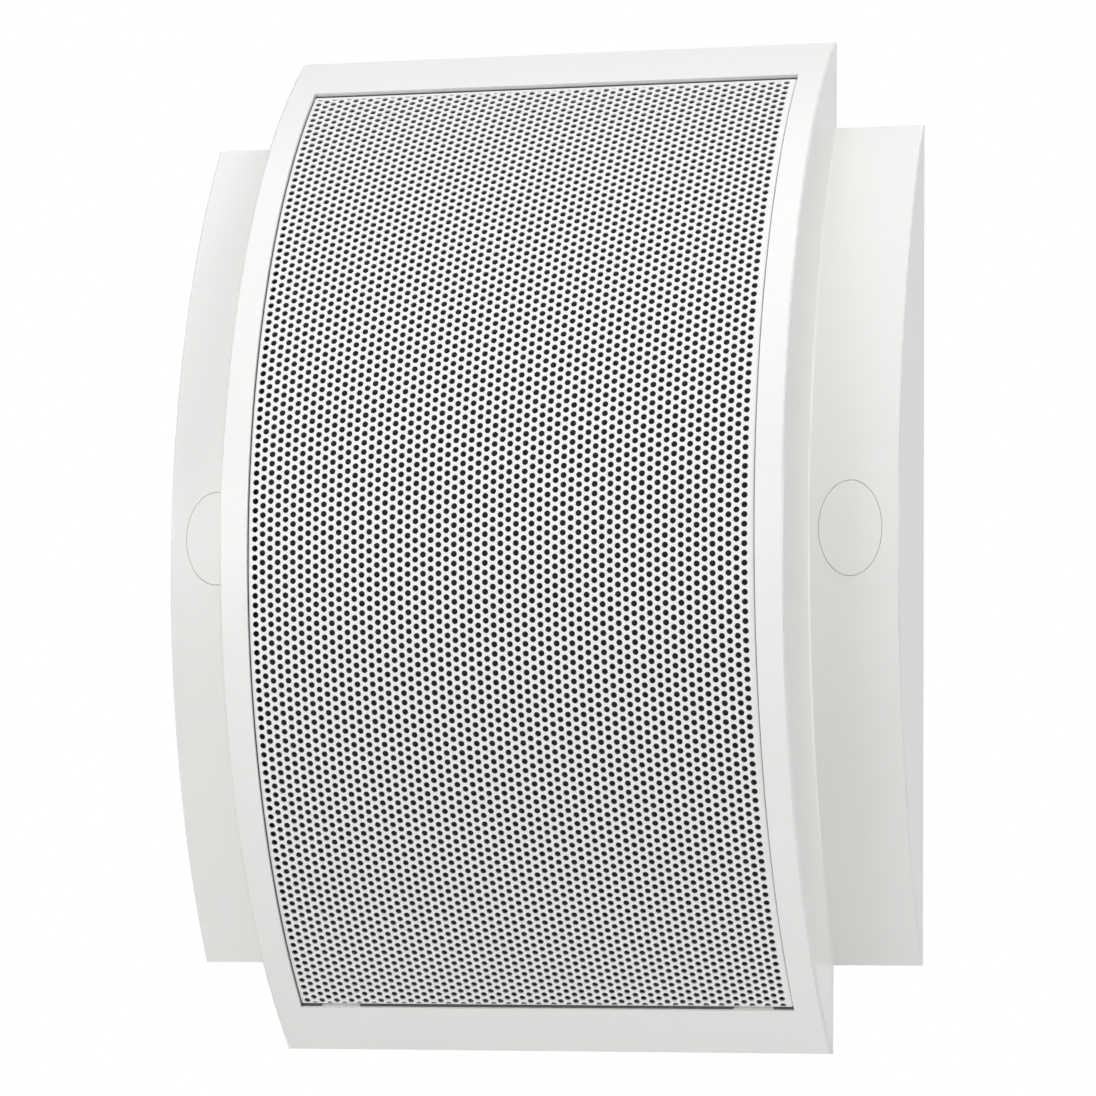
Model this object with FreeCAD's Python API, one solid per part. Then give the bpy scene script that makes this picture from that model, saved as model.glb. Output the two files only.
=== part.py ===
import FreeCAD, Part
import math
import os
from FreeCAD import Vector

# Surface-mount loudspeaker. Millimetres, +Z up, +X to the right seen from the front.
# The wall is the plane Y = 0 and the front faces -Y, so a depth of d lies at Y = -d.

# Centre body of the front housing
body_width = 151.0
body_height = 273.0
body_depth = 70.0
body_end = 1.6  # depth left at the top and bottom ends
body_rim = 0.8  # rounding of the arched front edges
side_wall = 3.0
front_wall = 6.2  # arched front, outer face to inside
frame_side = 7.6  # border beside the grille
frame_end = 11.1  # border above and below the grille, in height

# Wings beside the centre body
wing_width = 24.1
wing_height = 226.0
wing_depth = 38.0
wing_end = 1.0
wing_rim = 0.5
wing_wall = 2.5
root_fillet = 0.5  # where a wing meets the side wall

# Oval screw wells in the wings
cap_width = 16.7
cap_height = 25.0
cap_inset = 12.9  # cap centre from the wing's outer face
cap_gap = 0.13  # line seen around the cap
cap_plate = 2.0
cap_ledge = 1.3
cap_skirt = 6.0
cap_skirt_wall = 1.2
well_wall = 1.8
well_floor = 4.0
wall_screw_hole = 5.2  # diameter

# Grille
grille_recess = 0.7
grille_gap = 0.5  # between its folded sides and the frame
grille_end_gap = 0.6  # between its folded ends and the frame, were it centred
grille_lift = 0.22  # it sits this much nearer the upper end
grille_sheet = 0.8
grille_fold = 3.0
grille_corner = 1.2
grille_bend = 0.4
hole_pitch = 20.0  # along a column
hole_column_pitch = 16.7
hole_diameter = 12.0
hole_margin = 8.5  # from the sheet's edge to the first hole centres
cloth_thickness = 0.2
cloth_drop = 0.15  # from the grille's face to the edge of the turned-up cloth
rib_width = 9.8  # ribs behind the grille's lower end
rib_x = 56.9
rib_drop = 1.3

# Shared fits
fit_gap = 0.1  # glue lines and curved seats
free_gap = 0.4  # drop-in clearance round flat pieces
thread_gap = 0.1

# Rear panel and its terminal cup
panel_recess = 0.5
panel_thickness = 2.5
panel_boss_diameter = 8.0
panel_boss_inset = 3.5  # boss centre from the inside of the side wall
panel_boss_end = 16.0  # boss centre from the panel's end
panel_boss_middle = 54.0  # height of the second row
panel_screw_diameter = 3.0
panel_screw_head = 5.6
panel_screw_length = 11.0
cup_width = 64.0
cup_height = 34.0
cup_depth = 15.0
cup_wall = 2.0
cup_corner = 3.0
cup_room = 2.5  # between the cup and the arch

# Loudspeaker driver
driver_radius = 64.0
mouth_radius = 55.0  # hole in the housing in front of the cone
seat_ring = 3.0  # land outside the driver's edge
seat_land = 1.8  # land's height at its lowest place
gasket_thickness = 1.5
basket_sheet = 1.2
basket_step = 8.0
basket_taper = 3.0
cone_radius = 46.5
cone_lip = 3.5
cone_depth = 14.0
cone_paper = 0.7
surround_roll = 7.0  # width of the half roll
surround_sheet = 0.5
surround_glue = 3.5
coil_bore = 20.0
former_wall = 0.5
winding_wall = 0.6
former_length = 19.0
former_rise = 3.0  # former in front of the cone's neck
dome_height = 4.0
dome_sheet = 0.4
whizzer_radius = 25.0
whizzer_depth = 9.0
whizzer_paper = 0.4
spider_radius = 32.5
spider_level = 16.0  # from the flange's front
spider_sheet = 0.4
spider_waves = 3
spider_wave_height = 0.8
spider_rim = 5.0
basket_floor = 22.0  # from the flange's front to the basket's floor
pole_gap = 0.6
plate_gap = 0.7
plate_radius = 27.0
plate_thickness = 4.0
magnet_radius = 30.0
magnet_bore = 30.0
yoke_radius = 28.0
yoke_thickness = 4.0
yoke_vent = 6.0
driver_room = 3.0  # between the yoke and the rear panel
window_count = 4
window_angle = 52.0
driver_screw_circle = 60.6
driver_screw_diameter = 3.0
driver_screw_head = 6.2
driver_screw_head_height = 2.2
driver_screw_bite = 7.0
tag_strip_width = 20.0
tag_strip_height = 7.0
tag_strip_thickness = 1.5
tag_spacing = 10.0
tag_width = 3.0
tag_thickness = 0.8
tag_length = 7.0

# Line transformer, with the usual proportions of an E and I core
core_leg = 6.4
core_stack = 14.0
coil_bulge = 5.0
coil_corner = 2.5
coil_gap = 0.3
standoff_diameter = 6.0
transformer_room = 2.0
transformer_screw_diameter = 2.6
transformer_screw_head = 4.8
transformer_screw_head_height = 1.8
transformer_screw_bite = 4.0

# Terminals
pole_count = 4
pole_pitch = 10.0
block_height = 15.0
block_depth = 11.0
block_end = 2.0  # block beyond the outer poles
clamp_size = 6.4
clamp_depth = 7.0
clamp_hole = 3.6
clamp_setback = 1.5  # from the block's lower face
terminal_screw_diameter = 3.0
terminal_screw_head = 4.6
terminal_screw_head_height = 1.6

# Inner wiring
lead_diameter = 1.6
lead_bend = 0.45  # share of the shorter run that a bend takes
line_lead_spacing = 22.0
line_lead_reach = 6.0
line_lead_side = 45.0
line_lead_depth = 9.0
line_lead_turn = 34.0
line_lead_end_spacing = 18.0


def arch_radius(height, depth, end):
    rise = depth - end
    return (height * height / 4 + rise * rise) / (2 * rise)


# Sizes that follow from those above
body_radius = arch_radius(body_height, body_depth, body_end)
body_axis = body_radius - body_depth  # arch axis behind the wall
wing_radius = arch_radius(wing_height, wing_depth, wing_end)
wing_axis = wing_radius - wing_depth
cavity_radius = body_radius - front_wall
cavity_width = body_width - 2 * side_wall
grille_radius = body_radius - grille_recess
pocket_radius = grille_radius - grille_fold - cloth_thickness - 2 * fit_gap
opening_width = body_width - 2 * frame_side
opening_angle = math.degrees(math.asin((body_height / 2 - frame_end) / body_radius))
grille_width = opening_width - 2 * grille_gap
grille_angle = opening_angle - math.degrees(grille_end_gap / grille_radius)
cap_x = body_width / 2 + wing_width - cap_inset
panel_front = panel_recess + panel_thickness


def cavity_half_height(depth):
    return math.sqrt(cavity_radius ** 2 - (body_axis + depth) ** 2)


def cavity_depth(z):
    return math.sqrt(cavity_radius ** 2 - z * z) - body_axis


panel_half_height = cavity_half_height(panel_front) - free_gap
panel_half_width = cavity_width / 2 - free_gap
panel_boss_x = cavity_width / 2 - panel_boss_inset
seat_radius = driver_radius + seat_ring
driver_seat = cavity_depth(seat_radius) - seat_land
flange_front = driver_seat - gasket_thickness
flange_inner = cone_radius + surround_roll
gasket_inner = flange_inner + surround_glue + fit_gap
former_radius = coil_bore / 2 + former_wall
former_top = cone_depth - former_rise
plate_front = basket_floor + basket_sheet
magnet_front = plate_front + plate_thickness
magnet_height = flange_front - magnet_front - yoke_thickness - driver_room - panel_front
yoke_front = magnet_front + magnet_height
cup_floor = panel_recess + cup_depth
cup_top = cavity_half_height(cup_floor + cup_wall) - cup_room - cup_wall
core_rear = panel_front + coil_bulge + free_gap
core_front = core_rear + core_stack
core_half_height = 2.5 * core_leg
coil_half_height = 1.5 * core_leg - coil_gap
transformer_z = transformer_room - min(
    cavity_half_height(core_front) - core_half_height,
    cavity_half_height(core_front + coil_bulge) - coil_half_height,
)
block_width = pole_count * pole_pitch + 2 * block_end
block_bottom = cup_top - free_gap - block_height


def at(x, depth, z):
    return Vector(x, -depth, z)


def box(x0, x1, depth0, depth1, z0, z1):
    return Part.makeBox(x1 - x0, depth1 - depth0, z1 - z0, at(x0, depth1, z0))


def peg(radius, x, z, depth0, depth1):
    return Part.makeCylinder(radius, depth1 - depth0, at(x, depth0, z), Vector(0, -1, 0))


def drum(radius, axis, width, rim=0.0):
    solid = Part.makeCylinder(radius, width, Vector(-width / 2, axis, 0), Vector(1, 0, 0))
    if rim:
        solid = solid.makeFillet(rim, [e for e in solid.Edges if isinstance(e.Curve, Part.Circle)])
    return solid


def arched_block(radius, axis, width, height, rim):
    # The front part of a drum, cut off level with the wall and square at both ends
    room = box(-width / 2, width / 2, 0, radius, -height / 2, height / 2)
    return drum(radius, axis, width, rim).common(room)


def arched_slab(outer, inner, width, half_angle):
    # A sheet bent round the centre body's arch axis, with radial ends
    centre = Vector(0, body_axis, 0)
    x = width / 2
    corners = [Vector(-x, body_axis - outer, 0), Vector(x, body_axis - outer, 0)]
    corners += [Vector(x, body_axis - inner, 0), Vector(-x, body_axis - inner, 0)]
    face = Part.Face(Part.makePolygon(corners + corners[:1]))
    face.rotate(centre, Vector(1, 0, 0), -half_angle)
    return face.revolve(centre, Vector(1, 0, 0), 2 * half_angle)


def oval_prism(width, height, x, depth0, depth1):
    middle = at(x, depth0, 0)
    curve = Part.Ellipse(at(x, depth0, height / 2), at(x + width / 2, depth0, 0), middle)
    return Part.Face(Part.Wire(curve.toShape())).extrude(at(0, depth1 - depth0, 0))


def panel_boss_places():
    rows = [panel_half_height - panel_boss_end, panel_boss_middle]
    return [(x, z) for x in (-panel_boss_x, panel_boss_x) for row in rows for z in (-row, row)]


def driver_screw_places():
    reach = driver_screw_circle * math.sqrt(0.5)
    return [(x, z) for x in (-reach, reach) for z in (-reach, reach)]


def transformer_screw_places():
    x = 2.5 * core_leg
    z = 2 * core_leg
    return [(side * x, transformer_z + end * z) for side in (-1, 1) for end in (-1, 1)]


def wing_shell():
    # Both wings in one arched block, hollow from the back, with the screw wells standing in them
    width = body_width + 2 * wing_width
    shell = arched_block(wing_radius, wing_axis, width, wing_height, wing_rim)
    inner = drum(wing_radius - wing_wall, wing_axis, width - 2 * wing_wall)
    hollow = inner.common(box(-width, width, 0, wing_depth, -wing_height / 2, wing_height / 2))
    shell = shell.cut(hollow)
    for x in (-cap_x, cap_x):
        tube = oval_prism(cap_width + 2 * well_wall, cap_height + 2 * well_wall, x, 0, wing_depth)
        shell = shell.fuse(tube.common(inner))
    return shell


def wing_root_fillet():
    # Concave ring where the wing's arch meets the centre body's side wall
    crown = wing_radius + root_fillet
    width = body_width + 2 * root_fillet
    ring = drum(crown, wing_axis, width).cut(drum(wing_radius, wing_axis, width))
    for x in (-width / 2, width / 2):
        ring = ring.cut(Part.makeTorus(crown, root_fillet, Vector(x, wing_axis, 0), Vector(1, 0, 0)))
    return ring.common(box(-width, width, 0, body_depth, -wing_height / 2, wing_height / 2))


def screw_well_cut(x):
    ledge = drum(wing_radius - cap_plate - fit_gap, wing_axis, body_width + 2 * wing_width)
    seat = oval_prism(cap_width + 2 * cap_gap, cap_height + 2 * cap_gap, x, 0, body_depth).cut(ledge)
    well = oval_prism(cap_width - 2 * cap_ledge, cap_height - 2 * cap_ledge, x, well_floor, body_depth)
    return seat.fuse(well).fuse(peg(wall_screw_hole / 2, x, 0, 0, well_floor))


def front_housing():
    body = arched_block(body_radius, body_axis, body_width, body_height, body_rim)
    cavity = drum(cavity_radius, body_axis, cavity_width)
    behind = drum(pocket_radius - fit_gap, body_axis, cavity_width)
    shell = wing_shell().fuse([body, wing_root_fillet()])
    shell = shell.cut(cavity.common(box(-body_width, body_width, 0, body_depth, -body_height, body_height)))
    seat = peg(seat_radius, 0, 0, driver_seat, body_depth)
    bosses = [peg(panel_boss_diameter / 2, x, z, panel_front, body_depth) for x, z in panel_boss_places()]
    shell = shell.fuse([solid.common(behind) for solid in [seat] + bosses])
    pocket = arched_slab(body_radius + body_rim, pocket_radius, opening_width, opening_angle)
    mouth = peg(mouth_radius, 0, 0, 0, body_depth)
    cuts = [pocket.cut(grille_ribs(0.0)), mouth, screw_well_cut(-cap_x), screw_well_cut(cap_x)]
    hole = panel_screw_diameter / 2 + thread_gap
    cuts += [peg(hole, x, z, panel_front, panel_screw_length) for x, z in panel_boss_places()]
    hole = driver_screw_diameter / 2 + thread_gap
    end = driver_seat + driver_screw_bite + free_gap
    cuts += [peg(hole, x, z, driver_seat, end) for x, z in driver_screw_places()]
    return shell.cut(cuts).removeSplitter()


def grille_ribs(spare):
    # Two ribs on the pocket's lower wall, which hold the grille's folded end
    width = rib_width + 2 * spare
    turn = math.degrees((grille_end_gap + grille_lift - fit_gap + spare) / grille_radius)
    ribs = arched_slab(grille_radius - rib_drop + spare, pocket_radius, width, opening_angle)
    ribs = ribs.cut(arched_slab(body_radius, pocket_radius, width, opening_angle - turn))
    rib = ribs.common(box(-width, width, 0, body_depth, -body_height, 0))
    return [rib.translated(Vector(x, 0, 0)) for x in (-rib_x, rib_x)]


def grille_holes():
    columns = int((grille_width / 2 - hole_margin) // hole_column_pitch)
    reach = math.radians(grille_angle) * grille_radius - hole_margin
    centre = Vector(0, body_axis, 0)
    holes = []
    for column in range(-columns, columns + 1):
        shift = hole_pitch / 2 if column % 2 else 0.0
        rows = int((reach - shift) // hole_pitch)
        first = -rows - 1 if column % 2 else -rows
        for row in range(first, rows + 1):
            x = column * hole_column_pitch
            hole = peg(hole_diameter / 2, x, 0, body_depth - front_wall, body_depth)
            hole.rotate(centre, Vector(1, 0, 0), math.degrees((row * hole_pitch + shift) / grille_radius))
            holes.append(hole)
    return holes


def grille():
    def reach(vertex):
        return math.hypot(vertex.Y - body_axis, vertex.Z)

    tray = arched_slab(grille_radius, grille_radius - grille_fold, grille_width, grille_angle)
    corners = [e for e in tray.Edges if abs(reach(e.Vertexes[0]) - reach(e.Vertexes[1])) > grille_fold / 2]
    tray = tray.makeFillet(grille_corner, corners)
    face = grille_radius - grille_bend / 2
    rim = [e for e in tray.Edges if all(reach(v) > face for v in e.Vertexes)]
    tray = tray.makeFillet(grille_bend, rim)
    turn = math.degrees(grille_sheet / grille_radius)
    inside = arched_slab(grille_radius - grille_sheet, grille_radius - 2 * grille_fold,
                         grille_width - 2 * grille_sheet, grille_angle - turn)
    tray = tray.cut([inside] + grille_holes())
    return tray.rotated(Vector(0, body_axis, 0), Vector(1, 0, 0), -math.degrees(grille_lift / grille_radius))


def grille_cloth():
    # Laid over the pocket's floor under the grille, and turned up along the pocket's walls
    turn = math.degrees(fit_gap / grille_radius)
    bend = math.degrees(cloth_thickness / grille_radius)
    width = opening_width - 2 * fit_gap
    floor = pocket_radius + fit_gap
    cloth = arched_slab(grille_radius - cloth_drop, floor, width, opening_angle - turn)
    inside = arched_slab(body_radius, floor + cloth_thickness, width - 2 * cloth_thickness,
                         opening_angle - turn - bend)
    return cloth.cut([inside] + grille_ribs(fit_gap))


def screw_cap(x):
    width = body_width + 2 * wing_width
    under = drum(wing_radius - cap_plate, wing_axis, width)
    plate = oval_prism(cap_width, cap_height, x, 0, body_depth).common(drum(wing_radius, wing_axis, width))
    inset = 2 * (cap_ledge + fit_gap)
    skirt = oval_prism(cap_width - inset, cap_height - inset, x, 0, body_depth)
    inset += 2 * cap_skirt_wall
    skirt = skirt.cut(oval_prism(cap_width - inset, cap_height - inset, x, 0, body_depth))
    skirt = skirt.common(under.cut(drum(wing_radius - cap_plate - cap_skirt, wing_axis, width)))
    return plate.cut(under).fuse(skirt).removeSplitter()


def countersunk_screw(diameter, head, length):
    # Head at the origin, pointing to -Y
    r = diameter / 2
    profile = [Vector(0, 0, 0), Vector(head / 2, 0, 0), Vector(r, r - head / 2, 0)]
    profile += [Vector(r, -length, 0), Vector(0, -length, 0)]
    return turned(profile)


def pan_screw(diameter, head, head_height, length):
    # Underside of the head at the origin, pointing to -Y
    r = diameter / 2
    crown = head / 2 - head_height / 2
    profile = [Vector(0, head_height, 0), Vector(crown, head_height, 0), Vector(head / 2, head_height / 2, 0)]
    profile += [Vector(head / 2, 0, 0), Vector(r, 0, 0), Vector(r, -length, 0), Vector(0, -length, 0)]
    return turned(profile)


def turned(points):
    face = Part.Face(Part.makePolygon(points + points[:1]))
    return face.revolve(Vector(0, 0, 0), Vector(0, 1, 0), 360)


def rear_panel():
    x = panel_half_width
    plate = box(-x, x, panel_recess, panel_front, -panel_half_height, panel_half_height)
    cup_z = cup_top - cup_height
    x = cup_width / 2
    cup = box(-x - cup_wall, x + cup_wall, panel_recess, cup_floor + cup_wall,
              cup_z - cup_wall, cup_top + cup_wall)
    cup = cup.makeFillet(cup_corner, edges_along_depth(cup))
    hollow = box(-x, x, 0, cup_floor, cup_z, cup_top)
    hollow = hollow.makeFillet(cup_corner - cup_wall, edges_along_depth(hollow))
    post = standoff_diameter / 2
    posts = [peg(post, px, pz, panel_recess, core_rear) for px, pz in transformer_screw_places()]
    panel = plate.fuse([cup] + posts).cut(hollow)
    hole = panel_screw_diameter / 2 + thread_gap
    sink = countersunk_screw(2 * hole, panel_screw_head + 2 * thread_gap, panel_screw_length)
    cuts = [sink.translated(at(px, panel_recess, pz)) for px, pz in panel_boss_places()]
    hole = transformer_screw_diameter / 2 + thread_gap
    deep = core_rear - transformer_screw_bite - free_gap
    cuts += [peg(hole, px, pz, deep, core_rear) for px, pz in transformer_screw_places()]
    hole = lead_diameter / 2 + free_gap
    cuts += [peg(hole, p.x, p.z, cup_floor, cup_floor + cup_wall) for p in line_lead_starts()]
    return panel.cut(cuts).removeSplitter()


def edges_along_depth(solid):
    return [e for e in solid.Edges if abs(e.Vertexes[0].Y - e.Vertexes[1].Y) > e.Length / 2]


def panel_screws():
    screw = countersunk_screw(panel_screw_diameter, panel_screw_head, panel_screw_length - panel_front)
    return Part.makeCompound([screw.translated(at(x, panel_recess, z)) for x, z in panel_boss_places()])


def driver_point(radius, behind):
    # A place on the driver's section, measured from its axis and from the flange's front face
    return Vector(radius, behind - flange_front, 0)


def driver_ring(*section):
    return turned([driver_point(r, behind) for r, behind in section])


def driver_gasket():
    ring = driver_ring((gasket_inner, -gasket_thickness), (driver_radius, -gasket_thickness),
                       (driver_radius, 0), (gasket_inner, 0))
    return ring.cut(driver_screw_holes())


def driver_screw_holes():
    hole = driver_screw_diameter / 2 + thread_gap
    rear = flange_front - basket_sheet
    return [peg(hole, x, z, rear, driver_seat) for x, z in driver_screw_places()]


def driver_basket():
    # Pressed sheet: flange, stepped cone, spider ledge and floor, with windows round the cone
    shoulder = flange_inner - basket_taper
    ledge = spider_radius + 2 * fit_gap
    foot = spider_radius - spider_rim
    heel = foot - basket_taper
    bore = former_radius + winding_wall + plate_gap
    front = [(driver_radius, 0), (flange_inner, 0), (shoulder, basket_step), (ledge, spider_level)]
    front += [(foot, spider_level), (heel, basket_floor), (bore, basket_floor)]
    back = [(bore, plate_front), (heel + basket_sheet, plate_front)]
    back += [(foot + basket_sheet, spider_level + basket_sheet)]
    back += [(ledge + basket_sheet, spider_level + basket_sheet)]
    back += [(shoulder + basket_sheet, basket_step + basket_sheet / 2)]
    back += [(flange_inner + basket_sheet, basket_sheet), (driver_radius, basket_sheet)]
    basket = driver_ring(*front, *back)
    window = [driver_point(shoulder - basket_sheet, basket_step - basket_sheet),
              driver_point(driver_radius, basket_step + basket_sheet),
              driver_point(driver_radius, spider_level), driver_point(ledge + 3 * basket_sheet, spider_level)]
    opening = Part.Face(Part.makePolygon(window + window[:1]))
    opening = opening.revolve(Vector(0, 0, 0), Vector(0, 1, 0), window_angle)
    cuts = []
    for number in range(window_count):
        turn = 360.0 / window_count * number - window_angle / 2
        cuts.append(opening.rotated(Vector(0, 0, 0), Vector(0, 1, 0), turn))
    return basket.cut(cuts + driver_screw_holes())


def surround():
    # Half roll between two flat rims, bulging to the front
    middle = cone_radius + surround_roll / 2
    inner = surround_roll / 2
    outer = inner + surround_sheet
    rise = math.sqrt(outer ** 2 - surround_sheet ** 2)
    glue = flange_inner + surround_glue
    lip = cone_radius - cone_lip
    top = -surround_sheet
    path = [(glue, 0), (glue, top), (middle + rise, top)]
    back = [(middle - rise, top), (lip, top), (lip, 0), (middle - inner, 0)]
    edges = polyline(path)
    edges.append(section_arc((middle + rise, top), (middle, -outer), (middle - rise, top)))
    edges += polyline(back)
    edges.append(section_arc((middle - inner, 0), (middle, -inner), (middle + inner, 0)))
    edges += polyline([(middle + inner, 0), (glue, 0)])
    face = Part.Face(Part.Wire(edges))
    return face.revolve(Vector(0, 0, 0), Vector(0, 1, 0), 360)


def polyline(places):
    points = [driver_point(*place) for place in places]
    return [Part.LineSegment(a, b).toShape() for a, b in zip(points, points[1:])]


def section_arc(first, middle, last):
    return Part.Arc(driver_point(*first), driver_point(*middle), driver_point(*last)).toShape()


def cone():
    neck = former_radius + fit_gap
    lip = cone_radius - cone_lip
    throat = neck + cone_paper
    return driver_ring((cone_radius, 0), (lip, 0), (throat, cone_depth), (neck, cone_depth),
                       (neck, cone_depth + cone_paper), (throat + cone_paper, cone_depth + cone_paper),
                       (lip, cone_paper), (cone_radius, cone_paper))


def whizzer_cone():
    # Its narrow end stands on the main cone just outside the neck
    lip = cone_radius - cone_lip
    throat = former_radius + fit_gap + cone_paper
    slope = cone_depth / (lip - throat)
    foot = throat + cone_paper
    edge = foot + whizzer_paper
    seat = (lip - foot) * slope - fit_gap
    outer_seat = (lip - edge) * slope - fit_gap
    top = cone_depth - whizzer_depth
    return driver_ring((foot, seat), (whizzer_radius - whizzer_paper, top), (whizzer_radius, top),
                       (edge, outer_seat))


def dust_cap():
    # Shallow dome standing on the former's front end
    outer = (former_radius ** 2 + dome_height ** 2) / (2 * dome_height)
    inner = outer - dome_sheet
    centre = former_top - dome_height + outer
    rim = math.sqrt(inner ** 2 - (outer - dome_height) ** 2)

    def dome_place(radius, angle):
        return (radius * math.sin(angle), centre - radius * math.cos(angle))

    turn = math.asin(former_radius / outer)
    inner_turn = math.asin(rim / inner)
    edges = [section_arc(*[dome_place(outer, turn * share) for share in (0, 0.5, 1)])]
    edges += polyline([dome_place(outer, turn), dome_place(inner, inner_turn)])
    inside = [dome_place(inner, inner_turn * share) for share in (1, 0.5, 0)]
    edges.append(section_arc(*inside))
    edges += polyline([dome_place(inner, 0), dome_place(outer, 0)])
    return Part.Face(Part.Wire(edges)).revolve(Vector(0, 0, 0), Vector(0, 1, 0), 360)


def voice_coil():
    bore = coil_bore / 2
    end = former_top + former_length
    coil = former_radius + winding_wall
    start = plate_front - former_wall
    stop = end - former_wall
    return driver_ring((bore, former_top), (former_radius, former_top), (former_radius, start), (coil, start),
                       (coil, stop), (former_radius, stop), (former_radius, end), (bore, end))


def spider():
    # Corrugated disc from the former to the basket's ledge
    level = spider_level - spider_sheet
    inner = former_radius + fit_gap
    rim = spider_radius - spider_rim
    step = (rim - inner) / (2 * spider_waves + 1)
    front = [(inner, level)]
    for number in range(1, 2 * spider_waves + 1):
        height = spider_wave_height if number % 2 else 0.0
        front.append((inner + number * step, level - height))
    front += [(rim, level), (spider_radius, level)]
    back = [(r, behind + spider_sheet) for r, behind in reversed(front)]
    return driver_ring(*front, *back)


def top_plate():
    bore = former_radius + winding_wall + plate_gap
    return driver_ring((bore, plate_front), (plate_radius, plate_front), (plate_radius, magnet_front),
                       (bore, magnet_front))


def magnet():
    bore = magnet_bore / 2
    return driver_ring((bore, magnet_front), (magnet_radius, magnet_front), (magnet_radius, yoke_front),
                       (bore, yoke_front))


def yoke():
    pole = coil_bore / 2 - pole_gap
    vent = yoke_vent / 2
    back = yoke_front + yoke_thickness
    return driver_ring((vent, plate_front), (pole, plate_front), (pole, yoke_front),
                       (yoke_radius, yoke_front), (yoke_radius, back), (vent, back))


def driver_screws():
    length = basket_sheet + gasket_thickness + driver_screw_bite
    screw = pan_screw(driver_screw_diameter, driver_screw_head, driver_screw_head_height, length)
    rear = flange_front - basket_sheet
    return Part.makeCompound([screw.translated(at(x, rear, z)) for x, z in driver_screw_places()])


tag_strip_z = -(driver_radius + flange_inner + basket_sheet) / 2
tag_strip_rear = flange_front - basket_sheet - tag_strip_thickness


def tag_strip():
    x = tag_strip_width / 2
    z = tag_strip_height / 2
    return box(-x, x, tag_strip_rear, tag_strip_rear + tag_strip_thickness, tag_strip_z - z, tag_strip_z + z)


def solder_tags():
    def tag(x):
        w = tag_width / 2
        h = tag_thickness / 2
        end = tag_strip_rear - tag_length
        return box(x - w, x + w, end, tag_strip_rear, tag_strip_z - h, tag_strip_z + h)

    return Part.makeCompound([tag(-tag_spacing / 2), tag(tag_spacing / 2)])


def transformer_core():
    # Outline of 6 by 5 legs, with two windows of 1 by 3 legs
    leg = core_leg
    z = transformer_z
    core = box(-3 * leg, 3 * leg, core_rear, core_front, z - core_half_height, z + core_half_height)
    windows = [box(x, x + leg, core_rear, core_front, z - 1.5 * leg, z + 1.5 * leg) for x in (-2 * leg, leg)]
    hole = transformer_screw_diameter / 2 + thread_gap
    holes = [peg(hole, px, pz, core_rear, core_front) for px, pz in transformer_screw_places()]
    return core.cut(windows + holes)


def transformer_coil():
    # Winding round the middle leg, standing out in front of and behind the core
    x = 2 * core_leg - coil_gap
    z0 = transformer_z - coil_half_height
    z1 = transformer_z + coil_half_height
    coil = box(-x, x, core_rear - coil_bulge, core_front + coil_bulge, z0, z1)
    upright = [e for e in coil.Edges if abs(e.Vertexes[0].Z - e.Vertexes[1].Z) > e.Length / 2]
    coil = coil.makeFillet(coil_corner, upright)
    bore = core_leg + coil_gap
    return coil.cut(box(-bore, bore, core_rear - coil_gap, core_front + coil_gap, z0, z1))


def transformer_screws():
    length = core_stack + transformer_screw_bite
    screw = pan_screw(transformer_screw_diameter, transformer_screw_head,
                      transformer_screw_head_height, length)
    screw.rotate(Vector(0, 0, 0), Vector(0, 0, 1), 180)
    return Part.makeCompound([screw.translated(at(x, core_front, z)) for x, z in transformer_screw_places()])


def pole_places():
    middle = (pole_count - 1) / 2
    return [(number - middle) * pole_pitch for number in range(pole_count)]


clamp_bottom = block_bottom + clamp_setback
clamp_rear = cup_floor - block_depth + terminal_screw_head_height + free_gap
clamp_middle = clamp_bottom + clamp_size / 2


def terminal_block():
    x = block_width / 2
    rear = cup_floor - block_depth
    block = box(-x, x, rear, cup_floor, block_bottom, block_bottom + block_height)
    half = clamp_size / 2 + fit_gap
    cuts = []
    for px in pole_places():
        top = clamp_bottom + clamp_size + fit_gap
        cuts.append(box(px - half, px + half, clamp_rear - fit_gap, clamp_rear + clamp_depth + fit_gap,
                        block_bottom, top))
        cuts.append(peg(terminal_screw_head / 2 + thread_gap, px, clamp_middle, rear, clamp_rear))
    return block.cut(cuts)


def terminal_clamps():
    clamps = []
    for px in pole_places():
        half = clamp_size / 2
        front = clamp_rear + clamp_depth
        clamp = box(px - half, px + half, clamp_rear, front, clamp_bottom, clamp_bottom + clamp_size)
        wire_place = at(px, front - half / 2 - clamp_hole / 4, clamp_bottom)
        wire = Part.makeCylinder(clamp_hole / 2, clamp_size, wire_place)
        hole = terminal_screw_diameter / 2 + thread_gap
        thread = peg(hole, px, clamp_middle, clamp_rear, clamp_rear + clamp_depth / 2)
        clamps.append(clamp.cut([wire, thread]))
    return Part.makeCompound(clamps)


def terminal_screws():
    bite = clamp_depth / 3
    screw = pan_screw(terminal_screw_diameter, terminal_screw_head, terminal_screw_head_height, bite)
    return Part.makeCompound([screw.translated(at(px, clamp_rear, clamp_middle)) for px in pole_places()])


def lead(points):
    # Round wire along straight runs joined by tangent arcs
    edges = []
    start = points[0]
    for before, corner, after in zip(points, points[1:], points[2:]):
        run = lead_bend * min((before - corner).Length, (after - corner).Length)
        inward = (before - corner).normalize()
        outward = (after - corner).normalize()
        half_turn = (math.pi - inward.getAngle(outward)) / 2
        radius = run / math.tan(half_turn)
        middle = corner + (inward + outward).normalize() * (radius / math.cos(half_turn) - radius)
        edges.append(Part.LineSegment(start, corner + inward * run).toShape())
        edges.append(Part.Arc(corner + inward * run, middle, corner + outward * run).toShape())
        start = corner + outward * run
    edges.append(Part.LineSegment(start, points[-1]).toShape())
    section = Part.Wire(Part.makeCircle(lead_diameter / 2, points[0], points[1] - points[0]))
    return Part.Wire(edges).makePipeShell([section], True, False)


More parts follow.
